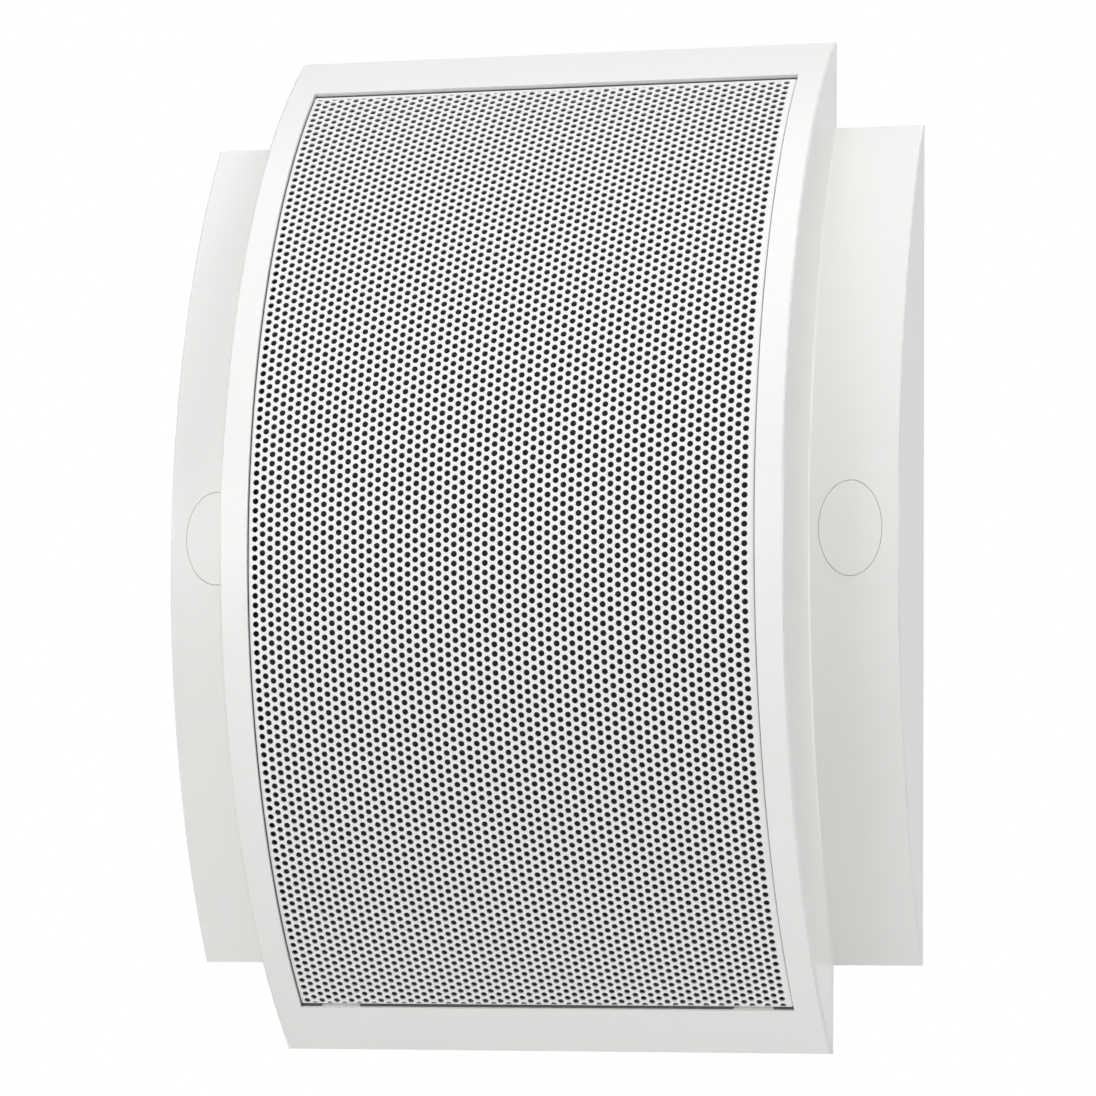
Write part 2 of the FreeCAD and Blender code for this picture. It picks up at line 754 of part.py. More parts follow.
def driver_leads():
    depth = core_front + coil_bulge / 2
    end = transformer_z + coil_half_height
    leads = []
    for x in (-tag_spacing / 2, tag_spacing / 2):
        start = at(x, tag_strip_rear - tag_length, tag_strip_z)
        leads.append(lead([start, at(x, depth, tag_strip_z), at(x, depth, end)]))
    return Part.makeCompound(leads)


def line_lead_starts():
    z = block_bottom + block_height / 2
    return [at(side * line_lead_spacing / 2, cup_floor, z) for side in (-1, 1)]


def line_leads():
    leads = []
    for start in line_lead_starts():
        side = math.copysign(1.0, start.x)
        depth = cup_floor + cup_wall + line_lead_reach
        rear = core_rear - coil_bulge / 2
        turn = -line_lead_side - line_lead_turn / 2
        end_x = side * line_lead_end_spacing / 2
        points = [start, at(start.x, depth, start.z)]
        points.append(at(side * line_lead_side, (depth + line_lead_depth) / 2, start.z - line_lead_turn))
        points.append(at(side * line_lead_side, line_lead_depth, -line_lead_turn))
        points.append(at(end_x, rear, turn))
        points.append(at(end_x, rear, transformer_z + coil_half_height))
        leads.append(lead(points))
    return Part.makeCompound(leads)


parts = {
    "front_housing": front_housing(),
    "grille": grille(),
    "grille_cloth": grille_cloth(),
    "screw_cap_left": screw_cap(-cap_x),
    "screw_cap_right": screw_cap(cap_x),
    "rear_panel": rear_panel(),
    "panel_screws": panel_screws(),
    "driver_gasket": driver_gasket(),
    "driver_basket": driver_basket(),
    "surround": surround(),
    "cone": cone(),
    "whizzer_cone": whizzer_cone(),
    "dust_cap": dust_cap(),
    "voice_coil": voice_coil(),
    "spider": spider(),
    "top_plate": top_plate(),
    "magnet": magnet(),
    "yoke": yoke(),
    "driver_screws": driver_screws(),
    "tag_strip": tag_strip(),
    "solder_tags": solder_tags(),
    "transformer_core": transformer_core(),
    "transformer_coil": transformer_coil(),
    "transformer_screws": transformer_screws(),
    "terminal_block": terminal_block(),
    "terminal_clamps": terminal_clamps(),
    "terminal_screws": terminal_screws(),
    "driver_leads": driver_leads(),
    "line_leads": line_leads(),
}

os.makedirs("parts", exist_ok=True)
for node, shape in parts.items():
    shape.exportStep(f"parts/{node}.step")
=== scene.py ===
import math

import bpy
import numpy as np
from mathutils import Matrix, Vector


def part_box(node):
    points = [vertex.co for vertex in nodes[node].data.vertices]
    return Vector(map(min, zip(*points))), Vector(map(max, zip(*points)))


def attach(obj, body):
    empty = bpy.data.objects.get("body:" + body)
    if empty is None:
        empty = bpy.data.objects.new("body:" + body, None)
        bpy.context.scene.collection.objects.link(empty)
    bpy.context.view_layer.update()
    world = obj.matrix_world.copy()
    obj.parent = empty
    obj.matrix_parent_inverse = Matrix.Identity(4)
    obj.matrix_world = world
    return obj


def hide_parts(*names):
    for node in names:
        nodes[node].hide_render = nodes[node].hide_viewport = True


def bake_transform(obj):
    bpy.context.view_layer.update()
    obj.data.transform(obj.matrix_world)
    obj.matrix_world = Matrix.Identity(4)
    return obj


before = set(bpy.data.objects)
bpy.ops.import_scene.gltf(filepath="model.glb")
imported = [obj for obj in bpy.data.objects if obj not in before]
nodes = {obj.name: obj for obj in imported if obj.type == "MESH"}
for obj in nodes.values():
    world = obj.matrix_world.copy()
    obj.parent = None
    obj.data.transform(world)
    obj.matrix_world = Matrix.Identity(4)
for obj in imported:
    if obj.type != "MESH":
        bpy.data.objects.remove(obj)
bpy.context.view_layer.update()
mm = 0.001
fullTurn = 2 * math.pi
crease = math.radians(50)  # an edge that turns by more stays sharp


class Wire:  # an output socket; an expression on wires adds the Math nodes for it
    def __init__(self, tree, socket):
        self.tree = tree
        self.socket = socket

    def node(self, kind, settings, sockets, out=0):  # any node: its settings first, then its sockets
        made = self.tree.nodes.new(kind)
        for name, value in settings.items():
            setattr(made, name, value)
        for name, value in sockets.items():
            if isinstance(value, Wire):
                self.tree.links.new(value.socket, made.inputs[name])
            else:
                made.inputs[name].default_value = value
        return Wire(self.tree, made.outputs[out] if made.outputs else None)

    def maths(self, operation, first, second=0.0):
        return self.node("ShaderNodeMath", {"operation": operation}, {0: first, 1: second})

    def __add__(self, other):
        return self.maths("ADD", self, other)

    def __radd__(self, other):
        return self.maths("ADD", other, self)

    def __sub__(self, other):
        return self.maths("SUBTRACT", self, other)

    def __rsub__(self, other):
        return self.maths("SUBTRACT", other, self)

    def __mul__(self, other):
        return self.maths("MULTIPLY", self, other)

    def __rmul__(self, other):
        return self.maths("MULTIPLY", other, self)

    def __gt__(self, other):
        return self.maths("GREATER_THAN", self, other)

    def sine(self):
        return self.maths("SINE", self)

    def power(self, exponent):
        return self.maths("POWER", self, exponent)

    def least(self, other):
        return self.maths("MINIMUM", self, other)

    def most(self, other):
        return self.maths("MAXIMUM", self, other)

    def mean(self, other, share):  # of two wires, weighted by this one's share
        return share * self + (1 - share) * other

    def mix(self, first, second):  # colour from first to second as this wire goes from 0 to 1
        return self.node("ShaderNodeMix", {"data_type": "RGBA"}, {0: self, 6: first, 7: second}, out=2)

    def stretched(self, scale, turn=(0.0, 0.0, 0.0)):
        return self.node("ShaderNodeMapping", {}, {"Vector": self, "Scale": scale, "Rotation": turn})

    def axes(self):
        return [self.node("ShaderNodeSeparateXYZ", {}, {"Vector": self}, out=n) for n in range(3)]

    def noise(self, scale, detail=2.0, roughness=0.5):
        sockets = {"Vector": self, "Scale": scale, "Detail": detail, "Roughness": roughness}
        return self.node("ShaderNodeTexNoise", {}, sockets)

    def cells(self, scale):
        return self.node("ShaderNodeTexVoronoi", {}, {"Vector": self, "Scale": scale})

    def bump(self, height, strength):
        return self.node("ShaderNodeBump", {}, {"Height": self, "Distance": height, "Strength": strength})

    def shader(self, sockets):
        surface = self.node("ShaderNodeBsdfPrincipled", {}, sockets)
        self.node("ShaderNodeOutputMaterial", {"is_active_output": True}, {"Surface": surface})


def startFinish(name, source="Object"):
    material = bpy.data.materials.new(name)
    material.use_nodes = True
    material.node_tree.nodes.clear()
    place = material.node_tree.nodes.new("ShaderNodeTexCoord")
    return material, Wire(material.node_tree, place.outputs[source])


def tone(colour, factor=1.0):
    return tuple(c * factor for c in colour) + (1.0,)


# Finishes. Noise and cells are in lumps per metre, height and strength are those of the bump, roughness is
# the least one, and uneven is what the noise adds to it.

whiteMoulding = {
    "colour": (0.815, 0.813, 0.800),
    "darkest": 0.965,  # share of the colour in the clouds
    "clouds": 26.0,
    "scuffs": 240.0,
    "scuffStretch": (1.0, 1.0, 0.35),
    "grain": 3200.0,
    "height": 0.004 * mm,
    "strength": 0.6,
    "roughness": 0.29,
    "uneven": 0.06,
}


def makeWhiteMoulding(s):
    material, place = startFinish("white_moulding")
    clouds = place.noise(s["clouds"], detail=3.0)
    scuffs = place.stretched(s["scuffStretch"]).noise(s["scuffs"], detail=4.0, roughness=0.7)
    grain = place.noise(s["grain"])
    place.shader({
        "Base Color": clouds.mix(tone(s["colour"], s["darkest"]), tone(s["colour"])),
        "Roughness": s["roughness"] + s["uneven"] * (clouds + scuffs),
        "Normal": grain.bump(s["height"], s["strength"]),
    })
    return material


whiteSheet = {
    "colour": (0.82, 0.82, 0.81),
    "darkest": 0.97,
    "clouds": 30.0,
    "metalAndShade": (0.030, 0.030, 0.031),  # raw punched metal at the cut edges, and painted shade down the holes and the fold
    "fade": 1.1,  # how fast the white gives way to it down a hole, a painted shade that deepens with depth
    "peel": 1500.0,  # orange peel of the coat
    "height": 0.006 * mm,
    "strength": 0.7,
    "specks": 5200.0,
    "roughness": 0.41,
    "uneven": 0.1,
}


def makeWhiteSheet(s):
    material, place = startFinish("white_sheet")
    clouds = place.noise(s["clouds"])
    peel = place.noise(s["peel"], detail=1.0)
    specks = place.noise(s["specks"], detail=1.0)
    coat = clouds.mix(tone(s["colour"], s["darkest"]), tone(s["colour"]))
    # The attribute darkens the white towards dark metal: raw metal at the cut edges, and painted shade deeper
    # down the holes and the fold.
    bareAndShade = place.node("ShaderNodeAttribute", {"attribute_name": "bareAndShade"}, {}, out="Fac")
    place.shader({
        "Base Color": (s["fade"] * bareAndShade).least(1.0).mix(coat, tone(s["metalAndShade"])),
        "Roughness": s["roughness"] + s["uneven"] * specks,
        "Normal": peel.bump(s["height"], s["strength"]),
    })
    return material


blackCloth = {
    "colour": (0.095, 0.095, 0.096),
    "darkest": 0.55,
    "palest": 1.5,
    "thread": 0.55,  # pitch of the weave in mm
    "weave": 0.25,  # lift of one set of threads over the other
    "crossing": 0.2,  # lift of every other crossing
    "fuzz": 6.0,  # lumps per mm
    "weaveShadeShare": 0.6,  # of the weave's painted shade in the colour, beside the fuzz
    "height": 0.12 * mm,
    "strength": 0.8,
    "roughness": 0.85,
    "uneven": 0.1,
}


def makeBlackCloth(s):
    material, flat = startFinish("black_cloth", "UV")  # the map is in millimetres along and across the cloth
    across, along, _ = flat.axes()
    turn = fullTurn / s["thread"]
    weft = (across * turn).sine()
    warp = (along * turn).sine()
    crossing = (across * (turn / 2)).sine() * (along * (turn / 2)).sine()
    lift = 0.5 + s["weave"] * (weft * weft - warp * warp) + s["crossing"] * crossing
    fuzz = flat.noise(s["fuzz"], detail=3.0)
    # Raised threads are painted paler and sunk ones darker, a painted shade of the weave; the fuzz is random
    # tone.
    shade = lift.mean(fuzz, s["weaveShadeShare"])
    flat.shader({
        "Base Color": shade.mix(tone(s["colour"], s["darkest"]), tone(s["colour"], s["palest"])),
        "Roughness": s["roughness"] + s["uneven"] * fuzz,
        "Normal": lift.bump(s["height"], s["strength"]),
    })
    return material


blackMoulding = {
    "colour": (0.022, 0.022, 0.023),
    "darkest": 0.7,
    "palest": 1.5,
    "clouds": 30.0,
    "grain": 1900.0,
    "cloudShare": 0.7,  # of the clouds in the shade, beside the grain
    "height": 0.02 * mm,
    "strength": 0.5,
    "roughness": 0.42,
    "uneven": 0.2,
}


def makeBlackMoulding(s):
    material, place = startFinish("black_moulding")
    grain = place.cells(s["grain"])
    clouds = place.noise(s["clouds"], detail=4.0, roughness=0.65)
    shade = clouds.mean(grain, s["cloudShare"])
    place.shader({
        "Base Color": shade.mix(tone(s["colour"], s["darkest"]), tone(s["colour"], s["palest"])),
        "Roughness": s["roughness"] + s["uneven"] * clouds,
        "Normal": grain.bump(s["height"], s["strength"]),
    })
    return material


zincSteel = {"colour": (0.62, 0.62, 0.60), "tarnish": (0.58, 0.57, 0.52), "roughness": 0.24, "brush": 900.0}
brass = {"colour": (0.74, 0.55, 0.27), "tarnish": (0.55, 0.36, 0.16), "roughness": 0.22, "brush": 1100.0}
anyMetal = {
    "darkest": 0.78,  # share of the tarnish's colour
    "palest": 1.06,  # share of the metal's colour
    "clouds": 55.0,
    "brushStretch": (1.0, 1.0, 0.08),
    "cloudShare": 0.55,  # of the clouds in the shade, beside the streaks
    "height": 0.006 * mm,
    "strength": 0.5,
    "streaky": 0.16,  # roughness that the streaks add
    "uneven": 0.1,
}


def makeMetal(name, own):
    # plated or bare metal: brushed streaks, slow tarnish and a fine bump
    s = anyMetal | own
    material, place = startFinish(name)
    streak = place.stretched(s["brushStretch"]).noise(s["brush"], detail=4.0, roughness=0.6)
    clouds = place.noise(s["clouds"], detail=4.0, roughness=0.6)
    shade = clouds.mean(streak, s["cloudShare"])
    place.shader({
        "Base Color": shade.mix(tone(s["tarnish"], s["darkest"]), tone(s["colour"], s["palest"])),
        "Metallic": 1.0,
        "Roughness": s["roughness"] + s["streaky"] * streak + s["uneven"] * clouds,
        "Normal": streak.bump(s["height"], s["strength"]),
    })
    return material


ferrite = {
    "dark": (0.028, 0.028, 0.030),
    "pale": (0.085, 0.084, 0.083),
    "clouds": 70.0,
    "grit": 2600.0,
    "chips": 420.0,
    "shadeShare": 0.5,  # of the grit in the shade, beside the clouds
    "heightShare": 0.7,  # of the grit in the bump, beside the chips
    "height": 0.05 * mm,
    "strength": 0.6,
    "roughness": 0.62,
    "uneven": 0.25,
}


def makeFerrite(s):
    material, place = startFinish("ferrite")
    grit = place.noise(s["grit"], detail=3.0, roughness=0.7)
    chips = place.cells(s["chips"])
    clouds = place.noise(s["clouds"], detail=3.0)
    place.shader({
        "Base Color": grit.mean(clouds, s["shadeShare"]).mix(tone(s["dark"]), tone(s["pale"])),
        "Roughness": s["roughness"] + s["uneven"] * grit,
        "Normal": grit.mean(chips, s["heightShare"]).bump(s["height"], s["strength"]),
    })
    return material


paper = {
    "dark": (0.016, 0.016, 0.016),
    "pale": (0.075, 0.073, 0.068),
    "pulp": 900.0,
    "pulpShare": 0.4,  # beside the fibres
    "fibre": 2600.0,
    "fibreLie": ((1.0, 1.0, 0.12), (0.4, 0.9, 0.3)),  # stretch and turn of the fibres that lie one way
    "crossLie": ((0.12, 1.0, 1.0), (0.2, 0.3, 0.8)),  # and of those that lie the other way
    "height": 0.08 * mm,
    "strength": 0.8,
    "roughness": 0.8,
    "uneven": 0.15,
}


def makePaper(s):
    # pressed pulp: matted fibres lying two ways
    material, place = startFinish("paper")
    pulp = place.noise(s["pulp"], detail=6.0, roughness=0.75)
    fibre = place.stretched(*s["fibreLie"]).noise(s["fibre"], detail=3.0)
    cross = place.stretched(*s["crossLie"]).noise(s["fibre"], detail=3.0)
    mat = pulp.mean(fibre.mean(cross, 0.5), s["pulpShare"])
    place.shader({
        "Base Color": mat.mix(tone(s["dark"]), tone(s["pale"])),
        "Roughness": s["roughness"] + s["uneven"] * pulp,
        "Normal": mat.bump(s["height"], s["strength"]),
    })
    return material


foam = {
    "dark": (0.012, 0.012, 0.013),
    "pale": (0.060, 0.060, 0.062),
    "clouds": 120.0,
    "cells": 2300.0,
    "cellShare": 0.6,  # of the cells in the shade, beside the clouds
    "height": 0.12 * mm,
    "strength": 0.8,
    "roughness": 0.88,
    "uneven": 0.08,
}


def makeFoam(s):
    material, place = startFinish("foam")
    cell = place.cells(s["cells"])
    pit = (1.0 - cell).power(2.0)
    clouds = place.noise(s["clouds"], detail=3.0)
    place.shader({
        "Base Color": cell.mean(clouds, s["cellShare"]).mix(tone(s["dark"]), tone(s["pale"])),
        "Roughness": s["roughness"] + s["uneven"] * clouds,
        "Normal": pit.bump(s["height"], s["strength"]),
    })
    return material


copperWinding = {
    "dark": (0.20, 0.065, 0.022),
    "pale": (0.72, 0.31, 0.13),
    "pitch": 0.25 * mm,  # of the turns
    "slant": 0.25,  # how far they lean
    "clouds": 160.0,
    "turnShadeShare": 0.65,  # of the turns' painted shade in the colour, beside the clouds
    "height": 0.06 * mm,
    "strength": 0.8,
    "metallic": 0.85,
    "lacquer": 0.4,
    "roughness": 0.28,
    "uneven": 0.2,
}


def makeCopperWinding(s):
    # lacquered turns lying side by side, as a sine of the depth and a little of the height; each turn is
    # painted paler at its crown and darker in the groove, a painted shade
    material, place = startFinish("copper_winding")
    _, depth, height = place.axes()
    turns = 0.5 + 0.5 * ((depth + s["slant"] * height) * (fullTurn / s["pitch"])).sine()
    clouds = place.noise(s["clouds"], detail=3.0)
    place.shader({
        "Base Color": turns.mean(clouds, s["turnShadeShare"]).mix(tone(s["dark"]), tone(s["pale"])),
        "Metallic": s["metallic"],
        "Roughness": s["roughness"] + s["uneven"] * clouds,
        "Coat Weight": s["lacquer"],
        "Normal": turns.bump(s["height"], s["strength"]),
    })
    return material


resinBoard = {
    "dark": (0.10, 0.042, 0.016),
    "pale": (0.30, 0.15, 0.06),
    "clouds": 90.0,
    "fibre": 1400.0,
    "fibreStretch": (0.15, 1.0, 1.0),
    "fibreShare": 0.6,  # of the fibres in the shade, beside the clouds
    "height": 0.02 * mm,
    "strength": 0.6,
    "roughness": 0.42,
    "uneven": 0.15,
}


def makeResinBoard(s):
    material, place = startFinish("resin_board")
    fibre = place.stretched(s["fibreStretch"]).noise(s["fibre"], detail=4.0)
    clouds = place.noise(s["clouds"], detail=3.0)
    place.shader({
        "Base Color": fibre.mean(clouds, s["fibreShare"]).mix(tone(s["dark"]), tone(s["pale"])),
        "Roughness": s["roughness"] + s["uneven"] * clouds,
        "Normal": fibre.bump(s["height"], s["strength"]),
    })
    return material


lamination = {
    "dark": (0.10, 0.105, 0.12),
    "pale": (0.33, 0.32, 0.30),
    "gap": (0.02, 0.018, 0.016),
    "sheet": 0.5 * mm,
    "seamFrom": 0.88,  # level of the sine above which a seam shows
    "clouds": 130.0,
    "height": 0.04 * mm,
    "strength": 0.8,
    "metallic": 0.9,
    "seamDull": 0.6,  # what a seam takes off it
    "roughness": 0.42,
    "uneven": 0.25,
}


def makeLamination(s):
    # stamped sheets stacked from back to front, with a seam at the crest of a sine of the depth
    material, place = startFinish("lamination")
    _, depth, _ = place.axes()
    seam = (depth * (fullTurn / s["sheet"])).sine() > s["seamFrom"]
    clouds = place.noise(s["clouds"], detail=4.0, roughness=0.65)
    place.shader({
        "Base Color": seam.mix(clouds.mix(tone(s["dark"]), tone(s["pale"])), tone(s["gap"])),
        "Metallic": s["metallic"] - s["seamDull"] * seam,
        "Roughness": s["roughness"] + s["uneven"] * clouds,
        "Normal": (1.0 - seam).bump(s["height"], s["strength"]),
    })
    return material


wireCover = {
    "red": [(0.36, 0.020, 0.016), (0.48, 0.040, 0.030)],  # dark and pale
    "black": [(0.012, 0.012, 0.013), (0.028, 0.028, 0.030)],
    "clouds": 220.0,
    "skin": 2400.0,
    "height": 0.01 * mm,
    "strength": 0.5,
    "roughness": 0.36,
    "uneven": 0.18,
}


def makeWireCover(s):
    # red cover on the right-hand lead and black on the left-hand one
    material, place = startFinish("wire_cover")
    across, _, _ = place.axes()
    clouds = place.noise(s["clouds"], detail=3.0)
    black, red = (clouds.mix(tone(dark), tone(pale)) for dark, pale in (s["black"], s["red"]))
    skin = place.noise(s["skin"])
    place.shader({
        "Base Color": (across > 0.0).mix(black, red),
        "Roughness": s["roughness"] + s["uneven"] * clouds,
        "Normal": skin.bump(s["height"], s["strength"]),
    })
    return material


finishes = {
    "white_moulding": makeWhiteMoulding(whiteMoulding),
    "white_sheet": makeWhiteSheet(whiteSheet),
    "black_cloth": makeBlackCloth(blackCloth),
    "black_moulding": makeBlackMoulding(blackMoulding),
    "zinc_steel": makeMetal("zinc_steel", zincSteel),
    "ferrite": makeFerrite(ferrite),
    "paper": makePaper(paper),
    "foam": makeFoam(foam),
    "copper_winding": makeCopperWinding(copperWinding),
    "resin_board": makeResinBoard(resinBoard),
    "brass": makeMetal("brass", brass),
    "lamination": makeLamination(lamination),
    "wire_cover": makeWireCover(wireCover),
}
for part in nodes.values():
    for holder in part.material_slots:
        holder.material = finishes[holder.material.name.split(".")[0]]
print("finishes:", len(finishes))


# Shapes, in millimetres until they go into a mesh

arch = {"radius": 169.7, "axis": 100.4}  # outer face of the grille and the arch axis behind the wall


def onArch(across, along, depth):
    # A flat sheet rolled round the arch axis: across is x, along is arc length from the apex upwards,
    # depth is measured inwards from the grille's face.
    turn = along / arch["radius"]
    reach = arch["radius"] - depth
    return np.stack([across, arch["axis"] - reach * np.cos(turn), reach * np.sin(turn)], axis=-1) * mm


def newObject(name, points, faces, material):
    mesh = bpy.data.meshes.new(name)
    mesh.from_pydata(points.reshape(-1, 3).tolist(), [], [f.tolist() for f in faces])
    mesh.materials.append(material)
    made = bpy.data.objects.new(name, mesh)
    bpy.context.scene.collection.objects.link(made)
    return made


def newPiece(name, points, faces, finish, body="enclosure", flat=None):
    piece = newObject(name, points, faces, finishes[finish])
    mesh = piece.data
    mesh.polygons.foreach_set("use_smooth", np.ones(len(mesh.polygons), bool))
    if flat is not None:  # the flat sheet's own millimetres become the UV map
        corners = np.empty(len(mesh.loops), np.int32)
        mesh.loops.foreach_get("vertex_index", corners)
        mesh.uv_layers.new(name="flat").data.foreach_set("uv", flat.reshape(-1, 2)[corners].ravel())
    mesh.update()
    if body:  # a piece without a body is left unattached
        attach(piece, body)
    return piece


def quarter(steps):  # angles of a quarter circle, both ends included
    return np.linspace(0, math.pi / 2, steps + 1)


def gridFaces(rows, columns, closedRows=False, closedColumns=False):
    # Quads of a grid of points numbered row by row, joined round where a direction closes.
    a = np.arange(rows if closedRows else rows - 1)[:, None]
    b = np.arange(columns if closedColumns else columns - 1)[None, :]
    a1 = (a + 1) % rows
    b1 = (b + 1) % columns
    corners = [a * columns + b, a * columns + b1, a1 * columns + b1, a1 * columns + b]
    return np.stack(corners, axis=-1).reshape(-1, 4)


def wholeFaces(quads):
    # Quads as they are, and a quad with two neighbouring corners in one place as a triangle.
    same = quads == np.roll(quads, -1, axis=1)
    faces = [quads[~same.any(axis=1)]]
    faces += [np.delete(quads[same[:, n] & (same.sum(axis=1) == 1)], n, axis=1) for n in range(4)]
    return [face for block in faces for face in block]


flatSheet = {
    "onBorder": 1e-3,  # distance within which a point lies on a border
    "mergeSteps": 2000,  # per millimetre, to which points are rounded before they are merged
    "leastArea": 1e-5,
}


def rimLoop(points, low, high, steps):
    # Border points in order round a flat face, each with its outward direction.
    # A corner turns in several steps.
    loop, way = [], []
    turn = quarter(steps)[1:-1]
    sides = [(1, low, -1, 0, 1), (0, high, 1, 1, 1), (1, high, 1, 0, -1), (0, low, -1, 1, -1)]
    for held, bound, sign, running, heading in sides:  # axis held at its bound, and the axis that runs
        on = np.flatnonzero(np.abs(points[:, held] - bound[held]) < flatSheet["onBorder"])
        on = on[np.argsort(heading * points[on, running])]
        outward = np.zeros((len(on), 2))
        outward[:, held] = sign
        start = outward[-1]
        ahead = np.array([-start[1], start[0]])
        loop += [on, np.full(len(turn), on[-1])]
        way += [outward, np.cos(turn)[:, None] * start + np.sin(turn)[:, None] * ahead]
    return np.concatenate(loop), np.concatenate(way)


def rimFaces(loop, first, rings):
    # Quads from the border loop through its offset rings, which are numbered from first.
    ring = np.concatenate([loop[None], first + np.arange(rings * len(loop)).reshape(rings, -1)])
    step = np.roll(ring, -1, axis=1)
    return np.stack([ring[1:], step[1:], step[:-1], ring[:-1]], axis=-1).reshape(-1, 4)


def mergeFlat(points, quads, holes):
    # Points that coincide become one, and quads that have shrunk to a line are left out.
    key = np.round(points * flatSheet["mergeSteps"]).astype(np.int64)
    _, first, number = np.unique(key, axis=0, return_index=True, return_inverse=True)
    number = number.reshape(-1)
    points, quads, holes = points[first], number[quads], number[holes]
    a, b, c, d = (points[quads[:, n]] for n in range(4))
    diagonal, other = c - a, d - b
    area = 0.5 * (diagonal[:, 0] * other[:, 1] - diagonal[:, 1] * other[:, 0])
    return points, quads[area > flatSheet["leastArea"]], holes


grilleSheet = {
    "columns": 64,
    "columnPitch": 2.0773,
    "rows": 224,  # half rows, every other one in a column
    "rowPitch": 2.4897,
    "lowest": -139.2,  # arc length of the lowest half row
    "shift": -0.36,  # of the hole field across the sheet
    "lean": 0.0042,  # rise of the rows per length across
    "spare": 4,  # closed columns and rows laid out beyond the field
    "hole": 1.63,  # diameter
    "overhang": 0.3,  # of a hole's middle beyond the face, in diameters, from which no hole is left
    "plain": 0.85,  # strip without holes below the upper bend, which cuts the highest row
    "sheet": 0.8,
    "half": (67.18, 139.04),  # half size of the face up to its bends
    "lift": -0.2,  # it sits nearer the lower end of its pocket
    "bend": 0.4,
    "bendSteps": 4,
    "fold": 3.0,
    "corner": 4,  # steps round a corner
}


def faceBounds(s):
    half, lift = np.array(s["half"]), np.array([0.0, s["lift"]])
    return lift - half, lift + half


def perforatedFace(s):
    # Staggered holes of eight corners each. Between neighbours up, right-up and right-down lie three quads,
    # and to the left and right of each hole one more. A rim of holes shrunk to points closes the field, and
    # every point is held inside the flat face, so a hole that crosses a bend line keeps only its inner part.
    low, high = faceBounds(s)
    more = s["spare"]
    columns = np.arange(-more, s["columns"] + more)
    halfRows = np.arange(-more, s["rows"] + more)
    c, m = np.meshgrid(columns, halfRows, indexing="ij")
    here = (c + m) % 2 == 1
    c, m = c[here], m[here]
    site = np.full(here.shape, -1)
    site[here] = np.arange(len(c))
    across = s["shift"] + (c - (s["columns"] - 1) / 2) * s["columnPitch"]
    along = s["lowest"] + m * s["rowPitch"] / 2 + s["lean"] * across.clip(low[0], high[0])
    reach = s["overhang"] * s["hole"]
    isOpen = (c >= 0) & (c < s["columns"]) & (m >= 0) & (m < s["rows"])
    isOpen &= (along > low[1] - reach) & (along < high[1] + reach)
    angle = (np.arange(8) + 0.5) * (fullTurn / 8)
    wide = math.sqrt(math.pi / 4 / math.sin(math.pi / 4))  # corners stand out so that a hole keeps its area
    radius = np.where(isOpen, wide * s["hole"] / 2, 0.0)[:, None, None]
    middle = np.stack([across, along], axis=-1)[:, None]
    points = middle + radius * np.stack([np.cos(angle), np.sin(angle)], axis=-1)
    points = np.clip(points, low, np.where(isOpen[:, None, None], high - [0.0, s["plain"]], high))

    def beside(dc, dm):  # number of the hole that lies dc columns and dm half rows away, or -1
        i, j = c + more + dc, m + more + dm
        inside = (i >= 0) & (i < site.shape[0]) & (j >= 0) & (j < site.shape[1])
        return np.where(inside, site[i.clip(0, site.shape[0] - 1), j.clip(0, site.shape[1] - 1)], -1)

    own = np.arange(len(c))
    up, rightUp, rightDown = beside(0, 2), beside(1, 1), beside(1, -1)
    leftUp, leftDown = beside(-1, 1), beside(-1, -1)
    pattern = [  # hole and corner, counted anticlockwise from the right
        [(own, 1), (up, 6), (up, 5), (own, 2)],
        [(own, 0), (rightUp, 5), (rightUp, 4), (own, 1)],
        [(own, 6), (rightDown, 3), (rightDown, 2), (own, 7)],
        [(own, 7), (rightDown, 2), (rightUp, 5), (own, 0)],
        [(own, 3), (leftUp, 6), (leftDown, 1), (own, 4)],
    ]
    quads = []
    for corners in pattern:
        number = np.stack([hole * 8 + corner for hole, corner in corners], axis=-1)
        quads.append(number[np.stack([hole >= 0 for hole, corner in corners]).all(axis=0)])
    holes = own[isOpen][:, None] * 8 + np.arange(8)
    return points.reshape(-1, 2), np.concatenate(quads), holes


